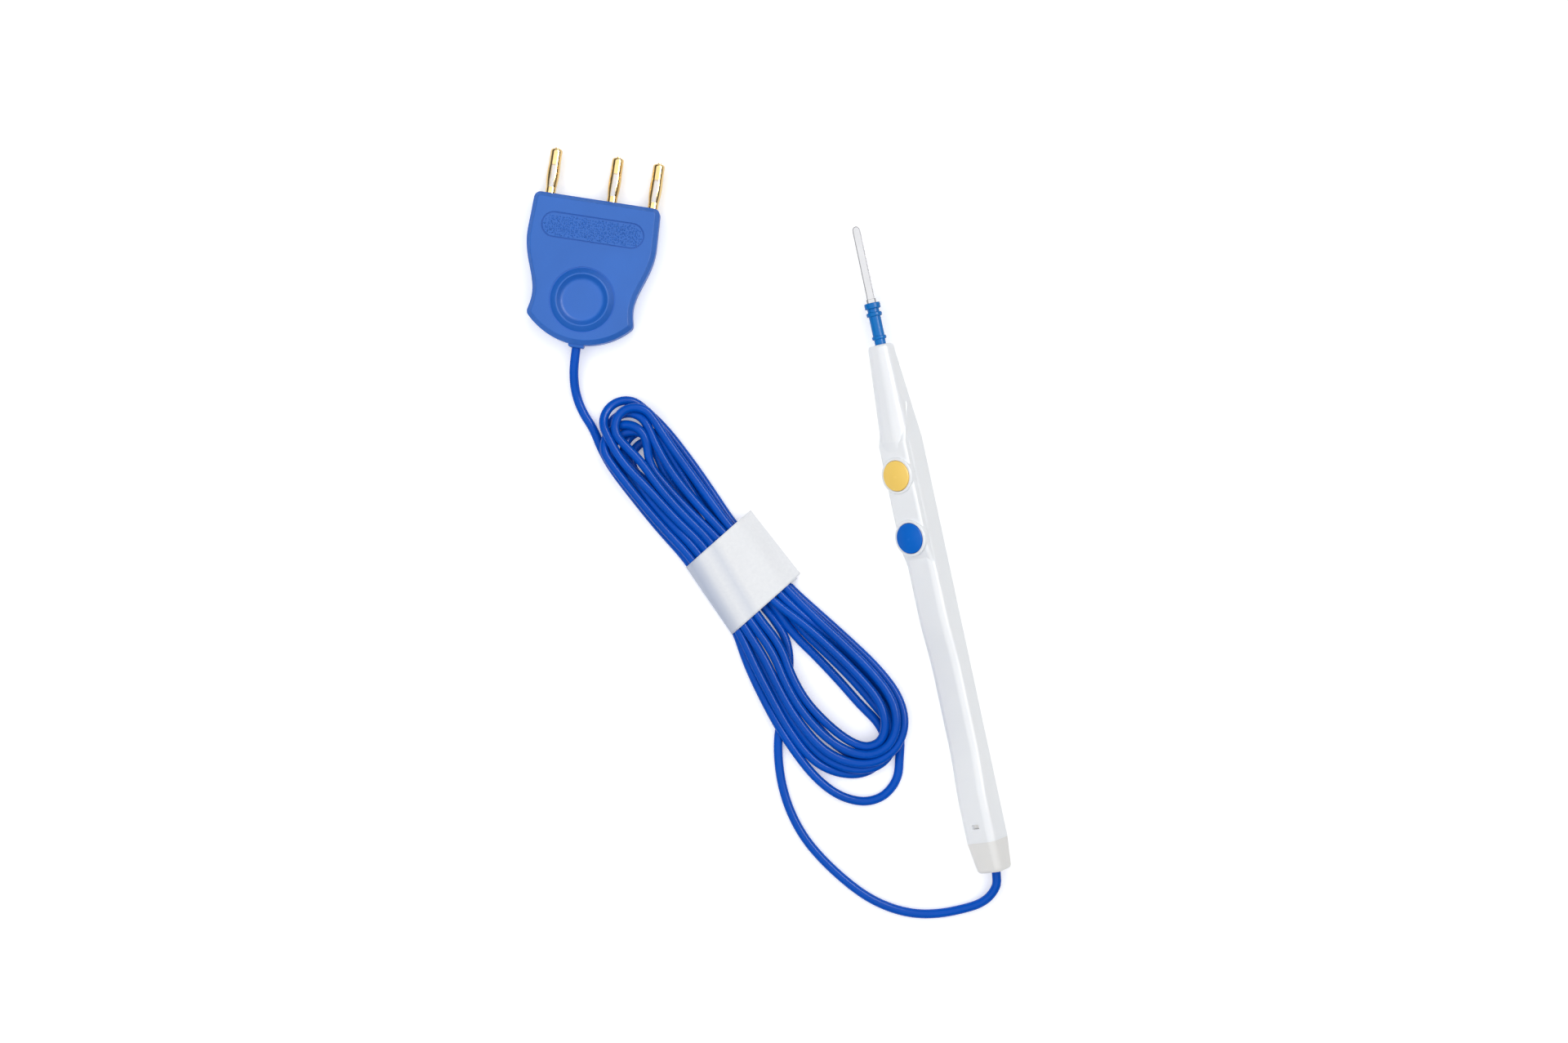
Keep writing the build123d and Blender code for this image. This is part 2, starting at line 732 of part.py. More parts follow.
os.makedirs("parts", exist_ok=True)
for node, solid in place_all().items():
    export_step(solid, os.path.join("parts", node + ".step"))
    print(node, "solids", len(solid.solids()), "valid", solid.is_valid)
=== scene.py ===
import math

import bpy
import bmesh
import numpy as np
from mathutils import Matrix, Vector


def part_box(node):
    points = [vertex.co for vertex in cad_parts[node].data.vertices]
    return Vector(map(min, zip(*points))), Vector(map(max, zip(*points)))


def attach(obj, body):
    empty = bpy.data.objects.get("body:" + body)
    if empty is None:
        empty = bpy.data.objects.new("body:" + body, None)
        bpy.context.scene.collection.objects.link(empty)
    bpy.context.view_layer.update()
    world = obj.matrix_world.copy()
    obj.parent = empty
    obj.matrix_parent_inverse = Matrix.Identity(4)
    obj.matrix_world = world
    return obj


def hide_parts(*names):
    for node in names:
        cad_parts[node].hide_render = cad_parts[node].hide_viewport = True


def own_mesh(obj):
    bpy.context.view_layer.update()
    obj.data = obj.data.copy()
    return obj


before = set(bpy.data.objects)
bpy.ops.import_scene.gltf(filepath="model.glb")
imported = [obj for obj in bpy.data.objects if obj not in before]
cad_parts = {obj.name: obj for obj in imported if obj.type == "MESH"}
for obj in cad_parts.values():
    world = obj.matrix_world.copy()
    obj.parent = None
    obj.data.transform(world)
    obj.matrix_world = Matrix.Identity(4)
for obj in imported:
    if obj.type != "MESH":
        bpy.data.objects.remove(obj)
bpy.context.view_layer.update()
mm = 0.001
print("frame loaded,", len(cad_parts), "nodes")


# small helpers that several pieces share

def addMesh(name, verts, faces, material):
    mesh = bpy.data.meshes.new(name)
    mesh.from_pydata([tuple(c * mm for c in v) for v in verts], [], faces)
    mesh.update()
    piece = bpy.data.objects.new(name, mesh)
    bpy.context.scene.collection.objects.link(piece)
    mesh.materials.append(material)
    for face in mesh.polygons:
        face.use_smooth = True
    return piece


def startMaterial(name):
    material = bpy.data.materials.new(name)
    material.use_nodes = True
    nodes = material.node_tree.nodes
    shader = next(n for n in nodes if n.type == "BSDF_PRINCIPLED")
    return material, nodes, material.node_tree.links, shader


noiseSpan = (0.3, 0.7)                   # the part of a noise that a colour or value runs over


def objectNoise(nodes, links, scale, detail, stretch=(1, 1, 1)):
    coord = nodes.new("ShaderNodeTexCoord")
    mapping = nodes.new("ShaderNodeMapping")
    mapping.inputs["Scale"].default_value = stretch
    noise = nodes.new("ShaderNodeTexNoise")
    noise.inputs["Scale"].default_value = scale
    noise.inputs["Detail"].default_value = detail
    links.new(coord.outputs["Object"], mapping.inputs["Vector"])
    links.new(mapping.outputs["Vector"], noise.inputs["Vector"])
    return noise.outputs["Fac"]


def rampColour(nodes, links, factor, low, high):
    ramp = nodes.new("ShaderNodeValToRGB")
    for end, place, colour in zip(ramp.color_ramp.elements, noiseSpan, (low, high)):
        end.position = place
        end.color = (*colour, 1)
    links.new(factor, ramp.inputs["Fac"])
    return ramp.outputs["Color"]


def rampValue(nodes, links, factor, low, high):
    spread = nodes.new("ShaderNodeMapRange")
    spread.inputs["From Min"].default_value = noiseSpan[0]
    spread.inputs["From Max"].default_value = noiseSpan[1]
    spread.inputs["To Min"].default_value = low
    spread.inputs["To Max"].default_value = high
    links.new(factor, spread.inputs["Value"])
    return spread.outputs["Result"]


def addBump(nodes, links, height, shader, distance):
    bump = nodes.new("ShaderNodeBump")
    bump.inputs["Distance"].default_value = distance
    bump.inputs["Strength"].default_value = 1.0
    links.new(height, bump.inputs["Height"])
    links.new(bump.outputs["Normal"], shader.inputs["Normal"])


# light that goes a little way into the surface, depth in metres
def addSoftLight(shader, weight, depth):
    shader.inputs["Subsurface Weight"].default_value = weight
    shader.inputs["Subsurface Radius"].default_value = depth
    shader.inputs["Subsurface Scale"].default_value = 1.0


mixSockets = {"first": 6, "second": 7, "result": 2}      # the mix node's sockets for colours


# goes from a linked colour to a fixed one
def mixColour(nodes, links, factor, linked, fixed, target):
    blend = nodes.new("ShaderNodeMix")
    blend.data_type = "RGBA"
    links.new(factor, blend.inputs["Factor"])
    links.new(linked, blend.inputs[mixSockets["first"]])
    blend.inputs[mixSockets["second"]].default_value = (*fixed, 1)
    links.new(blend.outputs[mixSockets["result"]], target)


# moulded plastic: mottled colour and a fine spark-eroded grain
plastic = {
    "cloudScale": 45,
    "cloudDetail": 2.0,
    "grainScale": 2600,
    "grainDetail": 4.0,
    "grainDepth": 0.00002,
    "specular": 0.5,
    "coat": 0.0,
    "coatRough": 0.2,
    "soft": 0.0,                         # share of the light that goes into the plastic, and how deep
    "softDepth": (0.0012, 0.0011, 0.0010),
}


def mouldedPlastic(name, changes):
    look = {**plastic, **changes}
    material, nodes, links, shader = startMaterial(name)
    cloud = objectNoise(nodes, links, look["cloudScale"], look["cloudDetail"])
    links.new(rampColour(nodes, links, cloud, look["low"], look["high"]), shader.inputs["Base Color"])
    grain = objectNoise(nodes, links, look["grainScale"], look["grainDetail"])
    links.new(rampValue(nodes, links, grain, *look["rough"]), shader.inputs["Roughness"])
    addBump(nodes, links, grain, shader, look["grainDepth"])
    shader.inputs["Specular IOR Level"].default_value = look["specular"]
    shader.inputs["Coat Weight"].default_value = look["coat"]
    shader.inputs["Coat Roughness"].default_value = look["coatRough"]
    if look["soft"]:
        addSoftLight(shader, look["soft"], look["softDepth"])
    return material


# worked metal: uneven polish and fine marks, which become lines where they are stretched
metal = {
    "cloudScale": 160,
    "cloudDetail": 3.0,
    "lineScale": 1400,
    "lineDetail": 4.0,
    "lineStretch": (1, 1, 1),
    "lineDepth": 0.000006,
}


def workedMetal(name, changes):
    look = {**metal, **changes}
    material, nodes, links, shader = startMaterial(name)
    shader.inputs["Metallic"].default_value = 1.0
    cloud = objectNoise(nodes, links, look["cloudScale"], look["cloudDetail"])
    links.new(rampColour(nodes, links, cloud, look["low"], look["high"]), shader.inputs["Base Color"])
    lines = objectNoise(nodes, links, look["lineScale"], look["lineDetail"], look["lineStretch"])
    links.new(rampValue(nodes, links, lines, *look["rough"]), shader.inputs["Roughness"])
    addBump(nodes, links, lines, shader, look["lineDepth"])
    return material


# stage: pale sweep, large soft lights, camera straight above as in the photograph
studio = {
    "cameraPlace": (-43.4, 19.0, 900.0),
    "cameraTurn": -12.11,        # degrees about the line of sight
    "lens": 60.77,
    "sensor": 36,
    "clipStart": 0.01,
    "floorHalf": 3.0,            # metres
    "floorDrop": 0.05,           # mm below what lies on it
    "floorCloud": (3, 2.0),      # scale and detail of its mottling
    "floorTone": 0.92,
    "floorMottle": 0.995,        # darkest share of the tone
    "floorRough": 0.8,
    "floorSpecular": 0.1,
    "floorGlow": 0.28,
    "sky": 0.12,
    "skyTone": (0.97, 0.985, 1.0),
    # panels: place, size, power and colour, and the place where both point
    "aim": (-0.04, 0.02, 0),
    "topPanel": ((-0.10, 0.12, 1.5), (3.8, 2.6), 48.5, (0.985, 0.992, 1.0)),
    "sideStrip": ((0.85, 0.38, 1.0), (1.1, 0.36), 32.0, (1.0, 0.995, 0.985)),
}


def addArea(name, place, aim, size, power, colour):
    light = bpy.data.lights.new(name, "AREA")
    light.shape = "RECTANGLE"
    light.size = size[0]
    light.size_y = size[1]
    light.energy = power
    light.color = colour
    lamp = bpy.data.objects.new(name, light)
    lamp.location = place
    away = np.array(aim) - np.array(place)
    flat = math.hypot(away[0], away[1])
    lamp.rotation_euler = (math.atan2(flat, -away[2]), 0, math.atan2(-away[0], away[1]))
    bpy.context.scene.collection.objects.link(lamp)
    return lamp


def buildStudio():
    scene = bpy.context.scene
    scene.view_settings.view_transform = "Standard"
    half = studio["floorHalf"] / mm
    material, nodes, links, shader = startMaterial("paleSweep")
    cloud = objectNoise(nodes, links, *studio["floorCloud"])
    tone = studio["floorTone"]
    low = (tone * studio["floorMottle"],) * 3
    high = (tone,) * 3
    links.new(rampColour(nodes, links, cloud, low, high), shader.inputs["Base Color"])
    shader.inputs["Roughness"].default_value = studio["floorRough"]
    shader.inputs["Specular IOR Level"].default_value = studio["floorSpecular"]
    shader.inputs["Emission Color"].default_value = (1, 1, 1, 1)
    shader.inputs["Emission Strength"].default_value = studio["floorGlow"]
    level = -studio["floorDrop"]
    corners = [(-half, -half, level), (half, -half, level), (half, half, level), (-half, half, level)]
    floor = addMesh("floor", corners, [(0, 1, 2, 3)], material)
    world = bpy.data.worlds.new("studioSky")
    world.use_nodes = True
    sky = next(n for n in world.node_tree.nodes if n.type == "BACKGROUND")
    sky.inputs["Color"].default_value = (*studio["skyTone"], 1)
    sky.inputs["Strength"].default_value = studio["sky"]
    scene.world = world
    for name in ("topPanel", "sideStrip"):
        place, size, power, colour = studio[name]
        lamp = addArea(name, place, studio["aim"], size, power, colour)
        lamp.visible_diffuse = name != "sideStrip"       # the strip only draws highlights
    camera = bpy.data.cameras.new("camera")
    camera.lens = studio["lens"]
    camera.sensor_width = studio["sensor"]
    camera.clip_start = studio["clipStart"]
    holder = bpy.data.objects.new("camera", camera)
    holder.location = [c * mm for c in studio["cameraPlace"]]
    holder.rotation_euler = (0, 0, math.radians(studio["cameraTurn"]))
    scene.collection.objects.link(holder)
    scene.camera = holder
    print("studio ready")


buildStudio()


# cable: one smooth line from the clamp in the handle, seven turns in the hank, and on to the plug
cable = {
    "diameter": 3.05,
    "length": 2.47,                      # metres
    "roundSteps": 5,
    "lineSteps": 6,
    "exit": (2.495, -111.2, 5.051),      # rear face of the cap
    "handleEnd": [(2.495, -91.4, 5.051), (2.495, -113.8, 5.051)],
    "handleRun": [
        (-0.4, -118.7, 4.5), (-5.3, -121.6, 3.1), (-12.2, -122.3, 1.9), (-19.6, -122.2, 1.55),
        (-27.2, -120.8, 1.55), (-35.0, -117.3, 1.55), (-42.6, -111.6, 1.55), (-49.6, -103.4, 1.55),
        (-55.4, -94.8, 1.55), (-59.4, -87.0, 1.55), (-62.0, -78.0, 1.55), (-62.9, -69.0, 1.55),
        (-62.4, -60.5, 1.55), (-60.9, -52.5, 1.55), (-57.8, -45.0, 1.75),
    ],
    "plugRun": [
        (-99.9, 63.0, 1.75), (-102.4, 69.3, 1.6), (-103.4, 75.6, 2.4), (-102.8, 81.9, 3.9),
        (-100.89, 88.37, 5.0), (-96.63, 99.59, 5.0),
    ],
}

# hank: places are (down the hank, across it) from the middle of the paper band
hank = {
    "middle": (-60.7, 5.5),
    "turn": -65.9,
    "layer": 2.6,                        # rise from one layer of cable to the next
    "paperLift": 0.35,
    # passes through the band, up on the left and down on the right, at its lower and upper edge
    "bandStops": (15.0, 5.0, -5.0, -15.0),
    "upLow": (-0.6, -8.0, -11.0, -12.8, -5.5, -7.9, -10.4, -13.8),
    "upHigh": (-4.0, -6.7, -9.4, -10.8, -2.8, -5.5, -8.2, -12.1),
    "upLayer": (0, 0, 0, 1, 1, 1, 1, 0),
    "downLow": (7.1, 4.7, 2.3, 2.9, 7.9, 9.4, 5.4),
    "downHigh": (3.6, 1.2, -1.3, -0.4, 4.5, 6.2, 2.0),
    "downLayer": (0, 0, 0, 1, 1, 0, 1),
    # upper folds: legs, shoulders, middle, bend, end and height of each turn
    "legLeft": (-4.4, -8.0, -11.0, -13.0, -5.8, -8.9, -11.5),
    "legRight": (4.2, 1.4, -1.6, -4.0, 4.8, 7.3, -0.3),
    "shoulderLeft": (-6.0, -9.0, -11.4, -13.2, -5.5, -11.0, -11.8),
    "shoulderRight": (4.6, 2.2, -0.6, -4.0, 5.0, 7.1, 0.6),
    "foldMiddle": (-3.2, -4.0, -5.2, -6.2, -0.7, -2.2, -4.4),
    "foldBend": (7.0, 7.0, 7.0, 6.9, 6.3, 7.2, 6.9),
    "foldEnd": (-55.8, -58.8, -61.6, -64.4, -67.2, -71.3, -67.4),
    "foldLayer": (0, 1.0, 1.5, 1.6, 2.7, 2.1, 1.2),
    "foldPoints": 8,
    "legStop": -28.0,                    # where the legs come out of the band
    "longLegStop": -40.0,                # one more point on a leg with its shoulder beyond longLegFrom
    "longLegFrom": -44.0,
    "shoulderBack": 17.0,                # from the end of the fold
    "wrapRun": 10.0,                     # length over which a leg comes back inwards
    # lower loops: share of the way from the inner to the outer edge, and height
    "rightShare": (0.50, 0.24, 0.0, 0.50, 0.78, 1.0),
    "endShare": (0.50, 0.88, 0.98, 0.05, 0.33, 0.66),
    "leftShare": (0.16, 0.84, 0.99, 0.0, 0.28, 0.59),
    "rightLayer": (0.8, 0, 0, 1.6, 1.6, 0.6),
    "endLayer": (1.0, 1.1, 1.1, 0.8, 1.5, 2.0),
    "leftLayer": (1.1, 1.1, 1.1, 1.8, 2.0, 2.0),
    "rightPoints": 3,                    # points with the right side's share
    "quarterPoints": 3.5,                # points from there to the loop's end, and on to the left side
    "innerEdge": [
        (27.0, 0.2), (38.0, 2.3), (50.0, 3.9), (60.0, 4.9), (67.0, 4.2), (70.8, 2.5), (71.2, 0.0),
        (69.5, -2.2), (65.0, -4.3), (58.0, -6.3), (48.0, -7.8), (38.0, -6.6), (28.0, -3.4),
    ],
    "outerEdge": [
        (29.0, 13.9), (42.0, 16.6), (54.0, 18.8), (66.0, 19.1), (76.0, 16.2), (82.0, 9.0), (83.8, 0.5),
        (81.5, -8.0), (75.0, -15.5), (66.0, -19.8), (52.0, -20.0), (40.0, -18.6), (28.0, -17.0),
    ],
    # the last turn hangs loose below the others, and the first comes in under them
    "looseLeg": [(27.0, 7.6), (38.0, 11.0), (50.0, 13.2), (61.0, 14.0), (71.0, 12.4)],
    "looseLoop": [
        (78.0, 8.4, 0), (82.6, 4.6, 0), (86.6, 1.6, 0), (89.0, -2.4, 0), (89.8, -7.8, 0), (87.2, -13.8, 0),
        (80.4, -18.9, 0), (71.2, -21.3, 0.1), (60.9, -21.6, 0.6), (49.7, -21.0, 1.2), (36.9, -19.2, 0.9),
        (25.4, -17.0, 0.3),
    ],
    "comeIn": [(41.5, -11.8), (37.0, -7.4), (32.4, -3.7), (26.6, -1.0), (20.6, -0.5)],
    "goOut": [(-28.0, -13.4), (-42.0, -14.0), (-54.0, -14.4), (-62.0, -13.7)],
}


def onTable(a, b, z):
    turn = math.radians(hank["turn"])
    x = hank["middle"][0] + a * math.cos(turn) - b * math.sin(turn)
    y = hank["middle"][1] + a * math.sin(turn) + b * math.cos(turn)
    return (x, y, z)


def atLayer(layer, lift=0.0):
    return cable["diameter"] / 2 + lift + layer * hank["layer"]


def throughBand(low, high, layer, downwards):
    height = atLayer(layer, hank["paperLift"])
    across = (low, (2 * low + high) / 3, (low + 2 * high) / 3, high)
    run = [(a, b, height) for a, b in zip(hank["bandStops"], across)]
    return run[::-1] if downwards else run


def upperFold(k):
    left, right = hank["legLeft"][k], hank["legRight"][k]
    middle, bend, end = hank["foldMiddle"][k], hank["foldBend"][k], hank["foldEnd"][k]
    low, high = atLayer(hank["upLayer"][k]), atLayer(hank["downLayer"][k])
    top = atLayer(hank["foldLayer"][k])
    shoulder = end + hank["shoulderBack"]
    longLeg = shoulder < hank["longLegFrom"]
    points = [(hank["legStop"], (2 * left + hank["upHigh"][k]) / 3, low)]
    if longLeg:
        points.append((hank["longLegStop"], left, low))
    points.append((shoulder, hank["shoulderLeft"][k], (low + top) / 2))
    # the bend wraps further round where a leg comes back inwards
    wrapLeft = math.atan2(bend - middle + hank["shoulderLeft"][k], hank["wrapRun"])
    wrapRight = math.atan2(bend + middle - hank["shoulderRight"][k], hank["wrapRun"])
    angles = np.linspace(math.pi + wrapLeft, -wrapRight, hank["foldPoints"])
    reach = bend / math.cos((angles[0] - angles[1]) / 2)
    for angle in angles:
        points.append((end + bend - reach * math.sin(angle), middle + reach * math.cos(angle), top))
    points.append((shoulder, hank["shoulderRight"][k], (high + top) / 2))
    if longLeg:
        points.append((hank["longLegStop"], right, high))
    points.append((hank["legStop"], (2 * right + hank["downHigh"][k]) / 3, high))
    return points


def lowerLoop(k):
    points = []
    radius = cable["diameter"] / 2
    shares = (hank["rightShare"][k], hank["endShare"][k], hank["leftShare"][k])
    layers = (hank["rightLayer"][k], hank["endLayer"][k], hank["leftLayer"][k])
    sides = (0, 1, 2)                    # right side, end, left side
    for i, (inner, outer) in enumerate(zip(hank["innerEdge"], hank["outerEdge"])):
        side = np.clip((i - hank["rightPoints"]) / hank["quarterPoints"], sides[0], sides[-1])
        share = np.interp(side, sides, shares)
        layer = np.interp(side, sides, layers)
        inner, outer = np.array(inner), np.array(outer)
        inset = radius * (outer - inner) / np.linalg.norm(outer - inner)
        a, b = inner + inset + share * (outer - inner - 2 * inset)
        points.append((a, b, atLayer(layer)))
    return points


def windHank():
    flat = atLayer(0)
    points = [(a, b, flat) for a, b in hank["comeIn"]]
    turns = len(hank["legLeft"])
    for k in range(turns):
        points.extend(throughBand(hank["upLow"][k], hank["upHigh"][k], hank["upLayer"][k], False))
        points.extend(upperFold(k))
        points.extend(throughBand(hank["downLow"][k], hank["downHigh"][k], hank["downLayer"][k], True))
        if k < turns - 1:
            points.extend(lowerLoop(k))
        else:
            points.extend([(a, b, flat) for a, b in hank["looseLeg"]])
            points.extend([(a, b, atLayer(layer)) for a, b, layer in hank["looseLoop"]])
    points.extend(throughBand(hank["upLow"][turns], hank["upHigh"][turns], hank["upLayer"][turns], False))
    points.extend([(a, b, flat) for a, b in hank["goOut"]])
    return [onTable(*p) for p in points]


# paper band: a flattened sleeve round the waist with an empty fold on the right, points are (across, height)
band = {
    "halfLength": 13.75,
    "skew": -0.094,                      # the band lies a little aslant on the hank
    "thickness": 0.16,
    "over": [
        (15.3, 0.50), (14.4, 1.2), (12.8, 2.7), (11.2, 4.2), (9.5, 5.65), (7.4, 6.75), (4.0, 7.2), (0.4, 7.2),
        (-1.8, 6.9), (-4.0, 6.7), (-7.0, 6.9), (-9.4, 6.65), (-11.6, 5.95), (-13.4, 4.8), (-14.7, 3.4),
        (-15.3, 2.0),
    ],
    "under": [(-14.6, 0.8), (-12.6, 0.32), (-8.0, 0.20), (0.0, 0.20), (8.0, 0.20), (13.0, 0.20)],
    "around": 140,                       # faces round the sleeve and along it
    "along": 30,
    "flare": 0.03,                       # wider at the lower edge, narrower at the upper one
    "lowest": 0.12,
    # gentle waves of the upper side: depth, and turn per mm across and along
    "waveFrom": 0.6,
    "waveDepth": 0.05,
    "waves": ((0.8, 0.25), (-0.5, 0.31)),
    # room for the strands: below the paper, to the sides, and how they rise again past its edges
    "room": 0.45,
    "strandSides": (-13.4, 9.6),
    "strandWidths": (-1.2, -0.6, 0.0, 0.6, 1.2),
    "pastEdge": 1.5,
    "heldPast": 12.0,
    "risePast": 0.45,
    # the paper's inner end, which shows under the lower edge
    "tuckSides": (10.9, 13.4),
    "tuckOut": 0.6,
    "tuckIn": 4.0,
    "tuckAcross": 18,
    "tuckAlong": 3,
    "tuckBelow": 0.55,
    "tuckLowest": 0.4,
    # painted shade on the tucked inner end, even over it
    "tuckShade": 0.3,
    # painted shade: how far the paper is made darker and bluer, across the band and a little aslant, most on
    # its left slope and a little along a crease
    "shadePlaces": (-15.3, -13.2, -11.2, -9.2, -7.0, -5.2, -3.6, -2.2, -0.8),
    "shadeAmounts": (0.85, 1.0, 0.75, 0.28, 0.10, 0.26, 0.42, 0.20, 0.0),
    "shadeSlant": 0.10,
    "shadeShift": -0.8,
}


# keeps the strands inside the band, and lets them rise again on either side of it
def holdUnderBand(place, free):
    turn = math.radians(hank["turn"])
    axis = np.array([math.cos(turn), math.sin(turn)])
    across = np.array([-math.sin(turn), math.cos(turn)])
    flat = place[:, :2] - np.array(hank["middle"])
    down, side = flat @ axis, flat @ across
    edge = band["halfLength"] + band["pastEdge"]
    past = np.maximum(np.abs(down) - edge, 0)
    over = np.array(band["over"][::-1])
    radius = cable["diameter"] / 2
    ceiling = np.full(len(place), np.inf)
    for aside in band["strandWidths"]:
        paper = np.interp(side + aside, over[:, 0], over[:, 1])
        ceiling = np.minimum(ceiling, paper - math.sqrt(radius ** 2 - aside ** 2))
    ceiling = np.maximum(ceiling - band["room"] + band["risePast"] * past, radius)
    held = (free[:, 0] > 0) & (past < band["heldPast"])
    place[:, 2] = np.where(held, np.minimum(place[:, 2], ceiling), place[:, 2])
    kept = np.clip(side, *band["strandSides"])
    sideways = np.where((free[:, 0] > 0) & (past <= 0), kept - side, 0)
    place[:, :2] += sideways[:, None] * across


# lets the turns settle: strands that overlap are pushed apart, mostly upwards, and sink back down
settle = {
    "rounds": 420,
    "calm": 60,                          # last rounds, with nothing drawn back or down
    "apart": 5.0,                        # diameters of cable between strands that may touch
    "near": 1.6,                         # diameters within which a pair of places is watched
    "refresh": 10,                       # rounds between lists of such pairs
    "samples": (0.0, 0.25, 0.5, 0.75),   # places looked at on each span of the line
    "push": 0.8,
    "aside": 0.6,                        # share of the push that goes sideways
    "leastGap": 0.05,
    "leastShare": 0.1,
    "ease": 0.48,                        # smoothing of what has moved sideways
    "level": 0.12,                       # smoothing of the height
    "sink": 0.012,
    "home": 0.04,                        # pull back towards the first place
    "deep": 0.3,                         # overlap in mm that the print line counts
}


def settleTurns(points, held):
    home = np.array(points, float)
    place = home.copy()
    count = len(place)
    steps = np.array(settle["samples"])
    middle = np.repeat(np.arange(1, count - 1), len(steps))
    along = np.tile(steps, count - 2)
    weights = np.stack([0.5 * (1 - along) ** 2, 0.5 + along - along ** 2, 0.5 * along ** 2], 1)
    index = np.stack([middle - 1, middle, middle + 1], 1)
    shares = np.zeros(count)
    np.add.at(shares, index, weights)
    free = np.array([0.0 if h else 1.0 for h in held])[:, None]
    diameter = cable["diameter"]
    lift = np.array([settle["aside"], settle["aside"], 1.0])
    for turn in range(settle["rounds"]):
        line = np.einsum("ij,ijk->ik", weights, place[index])
        if turn % settle["refresh"] == 0:
            run = np.concatenate([[0], np.cumsum(np.linalg.norm(np.diff(line, axis=0), axis=1))])
            far = np.linalg.norm(line[:, None, :] - line[None, :, :], axis=2)
            apart = np.abs(run[:, None] - run[None, :]) > settle["apart"] * diameter
            rows, cols = np.nonzero((far < settle["near"] * diameter) & apart)
        gap = line[rows] - line[cols]
        distance = np.maximum(np.linalg.norm(gap, axis=1), settle["leastGap"])
        overlap = np.maximum(diameter - distance, 0)
        push = gap / distance[:, None] * (overlap / 2)[:, None] * lift
        force = np.zeros_like(line)
        hits = np.zeros(len(line))
        np.add.at(force, rows, push)
        np.add.at(hits, rows, overlap > 0)
        force /= np.maximum(hits, 1)[:, None] ** 0.5
        move = np.zeros_like(place)
        for j in range(3):
            np.add.at(move, index[:, j], force * weights[:, j:j + 1])
        place += settle["push"] * free * move / np.maximum(shares, settle["leastShare"])[:, None]
        shift = place - home
        ease = np.zeros_like(place)
        ease[1:-1, :2] = ((shift[:-2] + shift[2:]) / 2 - shift[1:-1])[:, :2] * settle["ease"]
        ease[1:-1, 2] = ((place[:-2] + place[2:]) / 2 - place[1:-1])[:, 2] * settle["level"]
        place += free * ease
        if turn < settle["rounds"] - settle["calm"]:
            place[:, :2] += settle["home"] * free * (home - place)[:, :2]
            place[:, 2] -= settle["sink"] * free[:, 0]
        holdUnderBand(place, free)
        place[:, 2] = np.where(free[:, 0] > 0, np.maximum(place[:, 2], diameter / 2), place[:, 2])
    highest = round(float(line[:, 2].max()) + diameter / 2, 2)
    deepest = round(float(overlap.max()), 2)
    deep = int((overlap > settle["deep"]).sum())
    print("hank settled, highest strand", highest, "mm, deepest overlap", deepest, "mm,", deep, "deep ones")
    return place


def addCable(material):
    lead = cable["handleEnd"] + cable["handleRun"]
    wound = windHank()
    tail = cable["plugRun"]
    held = [True] * len(lead) + [False] * len(wound) + [True] * len(tail)
    points = settleTurns(lead + wound + tail, held)
    curve = bpy.data.curves.new("cable", "CURVE")
    curve.dimensions = "3D"
    curve.bevel_depth = cable["diameter"] / 2 * mm
    curve.bevel_resolution = cable["roundSteps"]
    curve.use_fill_caps = True
    spline = curve.splines.new("NURBS")
    spline.points.add(len(points) - 1)
    for point, place in zip(spline.points, points):
        point.co = (*(place * mm), 1)
    spline.order_u = 3
    spline.use_endpoint_u = True
    spline.resolution_u = cable["lineSteps"]
    curve.materials.append(material)
    piece = bpy.data.objects.new("cable", curve)
    bpy.context.scene.collection.objects.link(piece)
    print("cable wound,", len(points), "points")
    return piece


cableBlue = mouldedPlastic("cableBlue", {
    "low": (0.0, 0.071, 0.44), "high": (0.0, 0.086, 0.52), "rough": (0.22, 0.28), "grainScale": 1800,
    "grainDepth": 0.000004, "specular": 0.10,
})
cablePiece = addCable(cableBlue)


# a place on the smooth closed line that the profile's points pull
def alongProfile(profile, place):
    count = len(profile)
    k = int(place) % count
    t = place - int(place)
    before, here, after = profile[k - 1], profile[k], profile[(k + 1) % count]
    return 0.5 * (1 - t) ** 2 * before + (0.5 + t - t * t) * here + 0.5 * t * t * after


